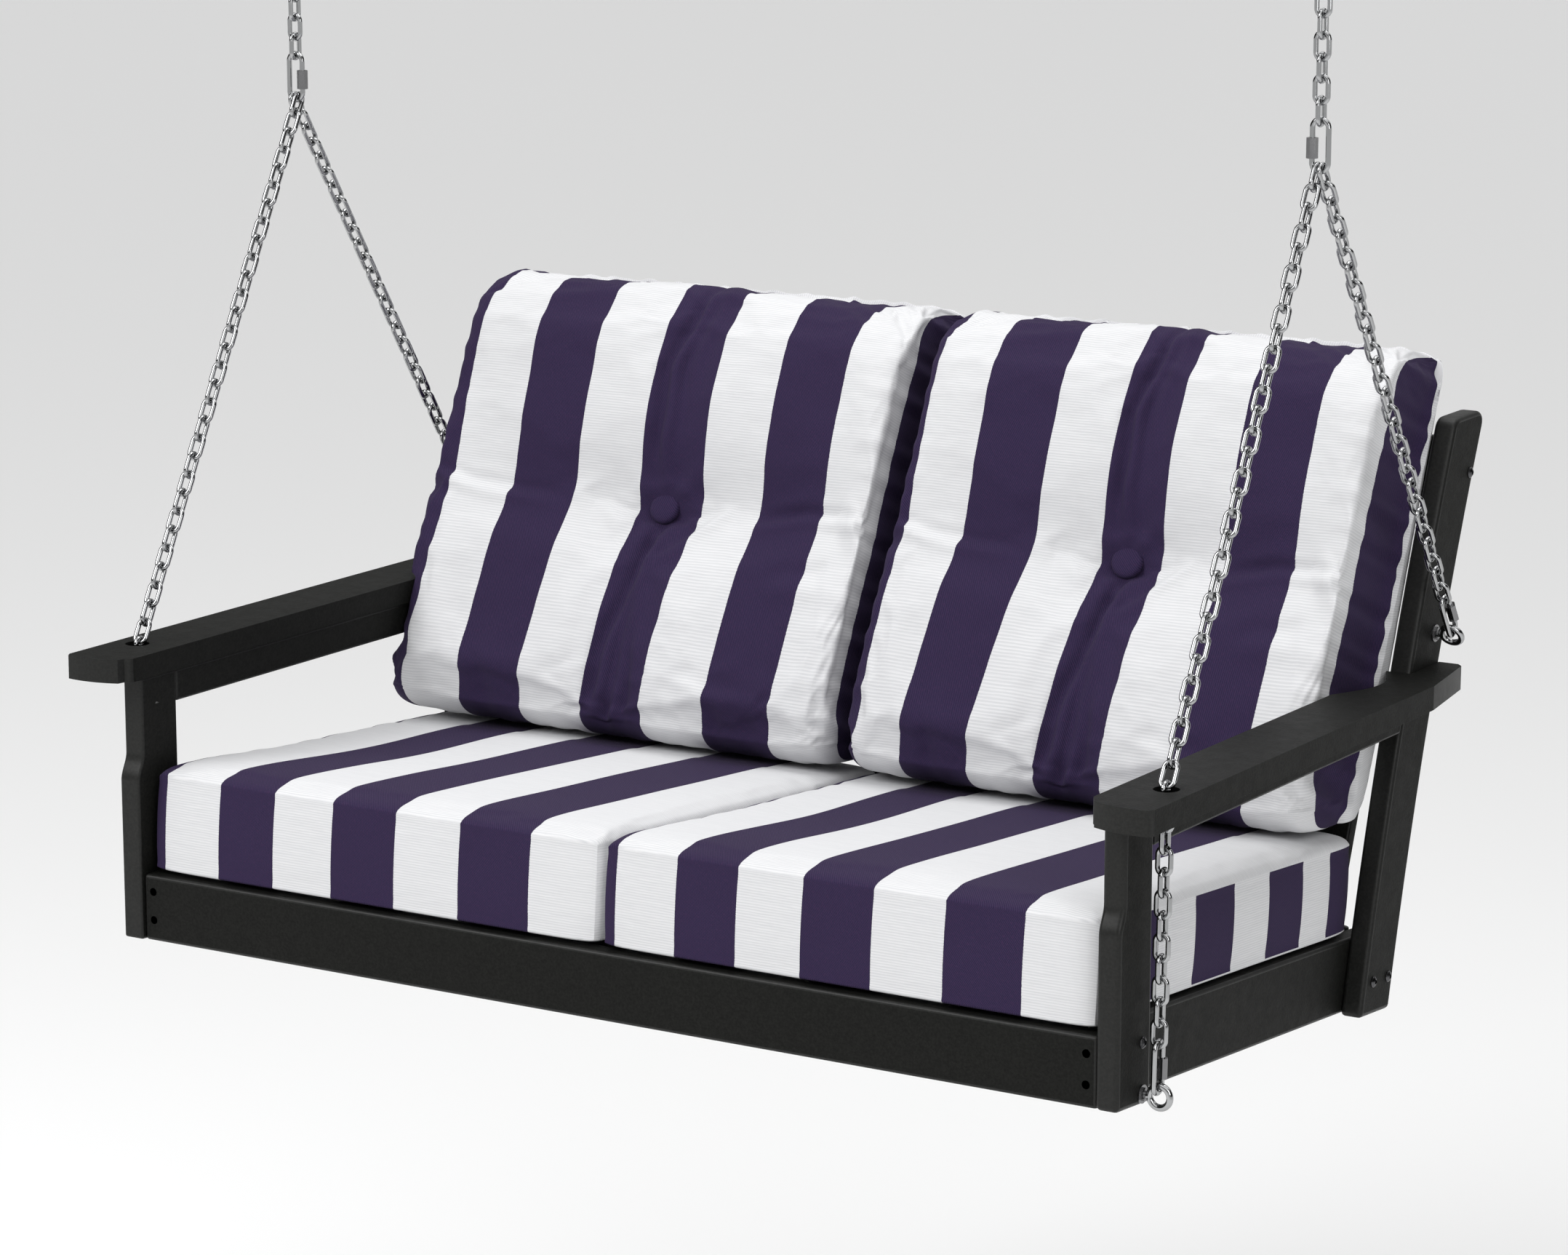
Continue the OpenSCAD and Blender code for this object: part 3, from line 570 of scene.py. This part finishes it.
def seat_cushion(side_name, sign):
    """A boxed seat cushion, made level in the seat's frame and then tilted with the seat."""
    nu = nv = SEAT_GRID
    u, v = np.meshgrid(spread(nu), spread(nv), indexing="ij")
    corner = 1 - 0.018 * (np.abs(u) * np.abs(v)) ** 14
    x = u * HALF_X * corner * (1 - 0.006 * (1 - v ** 2) * np.abs(u) ** 6)
    half_y = 0.5 * (SEAT_Y1 - SEAT_Y0)
    y = SEAT_Y0 + half_y + v * half_y * corner
    # the front shoulder is softer than the other three
    shoulder = np.where(v < 0, 12, 24)
    edge_round = ((1 - np.abs(u) ** 24).clip(0) * (1 - np.abs(v) ** shoulder).clip(0)) ** 0.5
    sag = np.exp(-((y - SAT_ON[1]) / 0.14) ** 2) * np.exp(-((x - SAT_ON[0]) / 0.12) ** 2)
    dome = (1 - u ** 2) * (1 - np.abs(v) ** 2.4)
    lump = lumps(np.stack([x, y, 0 * x], -1).reshape(-1, 3), 0.13, 3 + sign).reshape(x.shape)
    z = SEAT_SEAM + (SEAT_TOP - SEAT_SEAM - 0.0012) * edge_round
    z = z + 0.0008 * dome + 0.0006 * lump * edge_round
    z = z - 0.0055 * sag * edge_round
    # the seam lies in a groove, and the cloth beside it puckers
    z = z - 0.0012 * np.exp(-((1 - np.abs(u)) * HALF_X / 0.004) ** 2)
    pucker = 0.0009 * waves(y, sign, (0.05, 0.083, 0.03)) * near_edge(u, HALF_X, 0.015)
    z = z + pucker * edge_round
    # the outer lower edge lies over the side rail
    over_rail = smooth(sign * x, 0.2815, 0.2850) * smooth(y, 0.022, 0.026)
    low_z = SEAT_LOW + 0.006 * (1 - crown(u, v, 22)) + 0.0078 * over_rail
    # the rear part, under the back cushion, keeps its shape
    pinned = (np.abs(u) > ON_RIM) | (np.abs(v) > ON_RIM) | (v > 0.6)
    top = settle(np.stack([x, y, z], -1), pinned, cap=0.0016, pressure=0.6, growth=0.004)
    low = np.stack([x, y, low_z], -1)
    edge = rim(nu, nv)
    upper = np.array([top[i, j] for i, j in edge])
    lower = np.array([low[i, j] for i, j in edge])
    out = rim_outward(edge, nu, nv, np.array([1.0, 0.0]))
    band = []
    for r in range(1, SEAT_RINGS):
        t = r / SEAT_RINGS
        puff = 0.0042 * (4 * t * (1 - t)) ** 0.45 - 0.003
        band.append(upper * (1 - t) + lower * t + out * puff)

    def band_uv(r, k, step):
        """The top's stripes run on down the front and rear; each side has its own."""
        across, along = top[edge[(k + step) % len(edge)]][:2]
        down = (SEAT_SEAM - SEAT_LOW) * r / SEAT_RINGS
        rows = {edge[k][1], edge[(k + 1) % len(edge)][1]}
        if rows in ({0}, {nv}):
            return (stripe_map(across, ACROSS, -3).item(), -down)
        return (stripe_map(along, ALONG, -2).item(), -down)

    flat = np.stack([stripe_map(x, ACROSS, -3), y], -1)
    pad = closed_pad(side_name + "_seat_cushion_cover", top, low, band, flat, flat, band_uv)
    place_pad(pad, sign * MID, tilted=True)
    finish_piece(pad, side_name + "_seat_cushion", "cover", side_name + "_seat_cushion")


def place_pad(obj, x, tilted):
    """Moves a pad's mesh from its own middle and the seat's frame to the row frame."""
    co = np.empty(len(obj.data.vertices) * 3)
    obj.data.vertices.foreach_get("co", co)
    co = co.reshape(-1, 3)
    if tilted:
        y, z = co[:, 1].copy(), co[:, 2].copy()
        co[:, 1] = y * math.cos(TILT) + z * math.sin(TILT)
        co[:, 2] = -y * math.sin(TILT) + z * math.cos(TILT)
    co += np.array([x, -HANG_Y, -CEILING_Z])
    obj.data.vertices.foreach_set("co", co.reshape(-1))
    obj.data.update()


# back cushions, in (a, b): up the front from the belly, and in from the belly-to-brow line
BELLY, BROW = np.array([0.478, 0.222]), np.array([0.692, 0.668])
UP = (BROW - BELLY) / np.linalg.norm(BROW - BELLY)
IN = np.array([UP[1], -UP[0]])
SLAT_FACE = np.array([0.6158, 0.0170])
RAKE = math.radians(21.113)
SLAT_UP = np.array([math.sin(RAKE), math.cos(RAKE)])
SLAT_OUT = np.array([-math.cos(RAKE), math.sin(RAKE)])
SEAM_IN = 0.140
A_MID, A_HALF = 0.281, 0.282
A_BUTTON = 0.260
BUTTON_IN = 0.0575
BUTTON_SHIFT = {-1: -0.003, 1: 0.0098}
BACK_GRID, BACK_RINGS = (200, 190), 14
ON_SEAT = 0.2085  # height of its underside where y is 0, falling with the tilt
OFF_SLATS = 0.0010
RIGHT_END = 0.3079
OUTER_SWELL = 0.034
ARM_Z = (0.262, 0.332)  # of an arm and its brace, beside the cushion's front
# how far the right cushion's front leans away from its neighbour, by height up the panel
AWAY = [0.0, 0.12, 0.26, 0.53], [0.002, 0.010, 0.020, 0.027]
# stripe positions along the front panel, and what the pattern takes them for
WRAP_FROM = {-1: [-0.360, -0.2580, -0.174, 0.0, 0.261, 0.366, 0.500],
             1: [-0.360, -0.2385, -0.174, 0.0, 0.261, 0.366, 0.500]}
WRAP_TO = [-0.3535, -0.261, -0.174, 0.0, 0.261, 0.348, 0.434]
# lengths of the ripples in the seams at the sides, and at the top and bottom
SIDE_WAVES, END_WAVES = (0.033, 0.049, 0.021), (0.037, 0.059, 0.023)

# creases of the front panel: heights and x of the line, width, depth, and where along the line
# it starts and ends and how far it fades in and out
UPRIGHT_FOLDS = (
    ((0.28, 0.34, 0.42, 0.50, 0.55), (-0.012, -0.020, -0.022, -0.008, 0.006),
     0.0078, 0.0085, (0.29, 0.560, 0.05, 0.02)),
    ((0.36, 0.46, 0.55), (0.004, 0.006, 0.022), 0.0066, 0.0040, (0.37, 0.560, 0.08, 0.02)),
    ((-0.03, 0.06, 0.16, 0.24), (-0.030, -0.026, -0.012, 0.000),
     0.0080, 0.0095, (-0.02, 0.245, 0.05, 0.04)),
    ((-0.03, 0.06, 0.16, 0.24), (-0.004, 0.000, 0.001, 0.002),
     0.0070, 0.0062, (-0.03, 0.19, 0.03, 0.08)),
    ((-0.03, 0.06, 0.16), (0.022, 0.019, 0.012), 0.0066, 0.0046, (-0.03, 0.13, 0.03, 0.06)))
# the same for creases across it, with x first
LEVEL_FOLDS = (
    ((-0.30, -0.22, -0.13), (0.276, 0.262, 0.255), 0.0070, 0.0046, (-0.300, -0.120, 0.03, 0.06)),
    ((0.13, 0.20, 0.31), (0.256, 0.272, 0.268), 0.0070, 0.0046, (0.120, 0.300, 0.04, 0.04)),
    ((0.17, 0.28), (0.190, 0.196), 0.0120, 0.0034, (0.16, 0.27, 0.04, 0.04)),
    ((0.06, 0.20), (0.060, 0.040), 0.0130, 0.0030, (0.08, 0.22, 0.04, 0.04)))


def fold(x, line, a, width, height, ends):
    """A narrow crease with a ridge beside it, along line(a), fading out at both ends."""
    d = x - line
    shape = -np.exp(-(d / width) ** 2) + 0.75 * np.exp(-((d - 1.9 * width) / (1.25 * width)) ** 2)
    start, end, fade_in, fade_out = ends
    shape = height * shape * smooth(a, start, start + fade_in)
    return shape * (1 - smooth(a, end - fade_out, end))


def running_length(points):
    return np.concatenate([[0], np.cumsum(np.linalg.norm(np.diff(points, axis=0), axis=1))])


def back_shape():
    """The front panel's grid, its (a, b) axes still upright, and what the rest is built from."""
    u, v = np.meshgrid(*(spread(n) for n in BACK_GRID), indexing="ij")
    corner = 1 - 0.030 * (np.abs(u) * np.abs(v)) ** 9
    x = u * HALF_X * corner * (1 - 0.008 * (1 - v ** 2) * np.abs(u) ** 4)
    tall = np.where(v < 0, 1 - np.abs(v) ** 8.0, 1 - np.abs(v) ** 6.6).clip(0)
    wide = np.where(u < 0, 1 - np.abs(u) ** 22.0, 1 - np.abs(u) ** 46.0).clip(0)
    full = (wide * tall) ** 0.5
    climb = running_length(np.stack([A_HALF * v[0], -SEAM_IN * tall[0] ** 0.5], -1))
    # the bottom leans forward over the seat cushion, and the top back a little
    lean = 0.45 * smooth(-v, 0.1, 1.0) + 0.05 * smooth(v, 0.4, 1.0)
    a = A_MID + v * A_HALF * corner - SEAM_IN * full * lean
    # the tuft: a funnel at the button, a level valley through it and upright ones above and below
    da, r = a - A_BUTTON, np.hypot(x, a - A_BUTTON)
    funnel = 0.030 * np.exp(-(r / 0.050) ** 1.05)
    wander = da + 0.010 * np.cos(x * 18)
    level = 0.033 * np.exp(-(np.abs(x) / 0.12) ** 2) + 0.022
    level = level * np.exp(-(np.abs(wander) / 0.070) ** 1.15)
    level *= 1 - np.abs(u) ** 7
    upright = 0.017 * np.exp(-(np.abs(x + 0.006 * np.sin(a * 14)) / 0.040) ** 1.5) * (1 - np.abs(v) ** 6)
    dent = (funnel ** 2.2 + level ** 2.2 + upright ** 2.2) ** (1 / 2.2)
    b = SEAM_IN * (1 - full) + dent * full ** 0.5 + 0.012 * smooth(x, 0.06, 0.24) * full
    b = np.where(r < 0.05, np.minimum(b, BUTTON_IN + 0.0015), b)
    # how much of an end's swell each point takes
    end_in = SEAM_IN * (1 - wide ** 0.5)
    swell = (1 - smooth(end_in, 0.045, 0.100)) * smooth(-u, 0.50, 0.96)
    # held at the seam, at the bottom and round the button
    held = (np.abs(u) > ON_RIM) | (v > ON_RIM) | (v < -0.86) | (r < 0.026)
    top = settle(np.stack([x, a, -b], -1), held, cap=0.007, pressure=1.6, growth=0.013)

    # small folds, worked along the depth axis
    relief = np.zeros_like(x)
    for heights, places, width, height, ends in UPRIGHT_FOLDS:
        line = np.interp(a, heights, places) + 0.002 * np.sin(a * 55)
        relief += fold(x, line, a, width, height, ends)
    for places, heights, width, height, ends in LEVEL_FOLDS:
        line = -np.interp(x, places, heights) + 0.002 * np.sin(x * 47)
        relief += fold(-a, line, x, width, height, ends)
    # pleats round the button, gathers at the top and bottom, puckers at the sides
    around = np.arctan2(da, x)
    relief += 0.0022 * np.cos(7 * around + 1.2) * np.exp(-((r - 0.045) / 0.024) ** 2)
    off_sides = 1 - np.abs(u) ** 8
    gather = waves(x + 0.01 * np.sin(a * 20), 0, (0.041, 0.067, 0.025))
    relief += 0.0030 * gather * np.exp(-np.abs(a - (A_MID - A_HALF)) / 0.045) * off_sides
    gather = waves(x, 2, END_WAVES)
    relief += 0.0024 * gather * np.exp(-np.abs(A_MID + A_HALF - a) / 0.035) * off_sides
    relief += 0.0030 * waves(a, 5, SIDE_WAVES) * near_edge(u, HALF_X, 0.022)
    points = np.stack([x, a, 0 * x], -1).reshape(-1, 3)
    relief += 0.0045 * lumps(points, 0.15, 11).reshape(x.shape) * full
    relief += 0.0010 * lumps(points, 0.035, 5).reshape(x.shape) * full ** 2
    top[..., 2] += relief * smooth(r, 0.012, 0.026) * (0.35 + 0.65 * full)
    # the seam line itself ripples
    near = near_edge(u, HALF_X, 0.014)
    top[..., 0] += np.sign(u) * 0.0022 * near * (waves(a, 5, SIDE_WAVES) - 1)
    near = near_edge(v, A_HALF, 0.014)
    top[..., 1] += np.sign(v) * 0.0018 * near * waves(x, 2, END_WAVES)
    return top, u, v, x, wide, corner, swell, climb


def back_cushion(side_name, sign, shape):
    """A back cushion on the shared front panel, with its own outer end, band and rear."""
    top, u, v, x, wide, corner, swell, climb = shape
    nu, nv = u.shape[0] - 1, u.shape[1] - 1
    if sign < 0:  # the outer end has room to swell further
        x = x - OUTER_SWELL * swell
        top = top - np.stack([OUTER_SWELL * swell, 0 * x, 0 * x], -1)
    a = top[..., 1]
    if sign > 0:  # this one stands a little away from its neighbour
        away = np.interp(a, *AWAY)
        top = top + np.stack([away * np.exp(-np.abs((u + 0.42) / 0.48) ** 2.5), 0 * x, 0 * x], -1)

    # carry (a, b) to the seat frame
    front = np.concatenate([top[..., 0:1], BELLY + top[..., 1:2] * UP - top[..., 2:3] * IN], -1)
    if sign < 0:  # the arm and its brace hold the swollen end back
        z = front[..., 2]
        beside = smooth(z, ARM_Z[0] - 0.055, ARM_Z[0]) * (1 - smooth(z, ARM_Z[1], ARM_Z[1] + 0.018))
        limit = -0.3070 - 0.05 * (1 - beside)
        front[..., 0] = limit + 0.0012 * np.logaddexp(0, (front[..., 0] - limit) / 0.0012)
    # the rear panel lies on the slats
    h = 0.1520 + (v + 1) * 0.5 * 0.512 * corner + 0.004
    d = 0.0215 * (1 - crown(u, v, 9)) + 0.0012
    rear_yz = SLAT_FACE + h[..., None] * SLAT_UP + d[..., None] * SLAT_OUT
    rear = np.concatenate([(u * 0.3020 * corner)[..., None], rear_yz], -1)
    edge = rim(nu, nv)
    seam = np.array([front[i, j] for i, j in edge])
    rear_seam = np.array([rear[i, j] for i, j in edge])
    out = rim_outward(edge, nu, nv, UP)
    along = running_length(np.concatenate([seam, seam[:1]]))
    ripple = waves(along[:-1], 5, SIDE_WAVES)
    band = []
    rises = np.array([0.011 if j > 0 else 0.0 for i, j in edge])
    for r in range(1, BACK_RINGS):
        t = r / BACK_RINGS
        puff = rises * (4 * t * (1 - t)) ** 0.5 + 0.0016 * ripple * math.exp(-t / 0.15)
        band.append(seam * (1 - t) + rear_seam * t + out * puff[:, None])

    def band_uv(r, k, step):
        """The band is cut from the middle of a white stripe."""
        return (0.75 * STRIPE + 0.04 * (r / BACK_RINGS - 0.5), float(along[k + step]))

    # the stripes follow the cloth's length over one full row of the panel
    row = int(0.68 * nv)
    arc = running_length(np.stack([x[:, row], SEAM_IN * (1 - wide[:, row] ** 0.5)], -1))
    arc -= np.interp(0.0, x[:, row], arc)
    across = np.interp(arc + STRIPE / 4 - 0.007, WRAP_FROM[sign], WRAP_TO)
    flat = np.stack([np.repeat(across[:, None], nv + 1, 1), np.repeat(climb[None], nu + 1, 0)], -1)
    flat[..., 0] += 0.013 * smooth(v, 0.60, 0.96) * smooth(u, 0.84, 0.97)
    rear_flat = np.stack([0.297 * u + STRIPE / 4, a], -1)
    pad = closed_pad(side_name + "_back_cushion_cover", front, rear, band,
                     flat, rear_flat, band_uv, levels=0)
    co = np.empty(len(pad.data.vertices) * 3)
    pad.data.vertices.foreach_get("co", co)
    co = co.reshape(-1, 3)
    # it rests on the seat cushion, leans on the slats and stays clear of what is to its right
    rests_at = ON_SEAT - math.tan(TILT) * co[:, 1]
    co[:, 2] = np.maximum(co[:, 2], rests_at)
    depth = (co[:, 1:] - SLAT_FACE) @ SLAT_OUT
    co[:, 1:] += np.maximum(OFF_SLATS - depth, 0)[:, None] * SLAT_OUT
    co[:, 0] = np.minimum(co[:, 0], RIGHT_END)
    pad.data.vertices.foreach_set("co", co.reshape(-1))
    place_pad(pad, sign * MID, tilted=False)
    finish_piece(pad, side_name + "_back_cushion", "cover", side_name + "_back_cushion")


# radius and height of a button's rings, from the middle of its face to under its rim
BUTTON_RINGS = [(0.0, 0.0040), (0.0045, 0.0040), (0.009, 0.0038), (0.0135, 0.0033),
                (0.0170, 0.0024), (0.0192, 0.0008), (0.0203, -0.0016), (0.0205, -0.0038),
                (0.0196, -0.0058), (0.0174, -0.0074), (0.0140, -0.0084)]
BUTTON_TURNS = 48


def cushion_button(side_name, sign):
    """A domed button covered in the cushion's cloth, with the cloth drawn under its rim."""
    turns = BUTTON_TURNS
    verts, faces = [], []
    centre = BELLY + A_BUTTON * UP + (BUTTON_IN - 0.0065) * IN
    for k, (r, h) in enumerate(BUTTON_RINGS):
        for t in range(turns):
            angle = 2 * math.pi * t / turns
            pleat = 1 + 0.012 * math.sin(12 * angle + k) * (1.0 if k > 6 else 0.0)
            px, pa = r * pleat * math.cos(angle), r * pleat * math.sin(angle)
            yz = centre + pa * UP - h * IN
            verts.append(seat(sign * MID + BUTTON_SHIFT[sign] + px, *yz))
    for k in range(len(BUTTON_RINGS) - 1):
        for t in range(turns):
            n = (t + 1) % turns
            faces.append((k * turns + t, (k + 1) * turns + t, (k + 1) * turns + n, k * turns + n))
    mesh = bpy.data.meshes.new(side_name + "_button_cover")
    mesh.from_pydata(verts, [], faces)
    bm = bmesh.new()
    bm.from_mesh(mesh)
    bmesh.ops.remove_doubles(bm, verts=bm.verts, dist=1e-6)
    holes = [e for e in bm.edges if e.is_boundary]
    bmesh.ops.contextual_create(bm, geom=holes)
    bmesh.ops.recalc_face_normals(bm, faces=bm.faces)
    layer = bm.loops.layers.uv.new("fabric")
    for f in bm.faces:
        for loop in f.loops:
            p = loop.vert.co
            loop[layer].uv = (STRIPE / 4 + (p.x - sign * MID) * 0.8, (p.z + CEILING_Z) * 1.1)
    bm.to_mesh(mesh)
    bm.free()
    mesh.materials.append(FABRIC)
    mesh.polygons.foreach_set("use_smooth", [True] * len(mesh.polygons))
    obj = bpy.data.objects.new(side_name + "_button_cover", mesh)
    fine = obj.modifiers.new("fine", "SUBSURF")
    fine.levels = fine.render_levels = 1
    finish_piece(obj, side_name + "_back_cushion", "button", side_name + "_cushion_button")


back = back_shape()
for side_name, sign in (("left", -1), ("right", 1)):
    seat_cushion(side_name, sign)
    back_cushion(side_name, sign, back)
    cushion_button(side_name, sign)

bpy.context.view_layer.update()
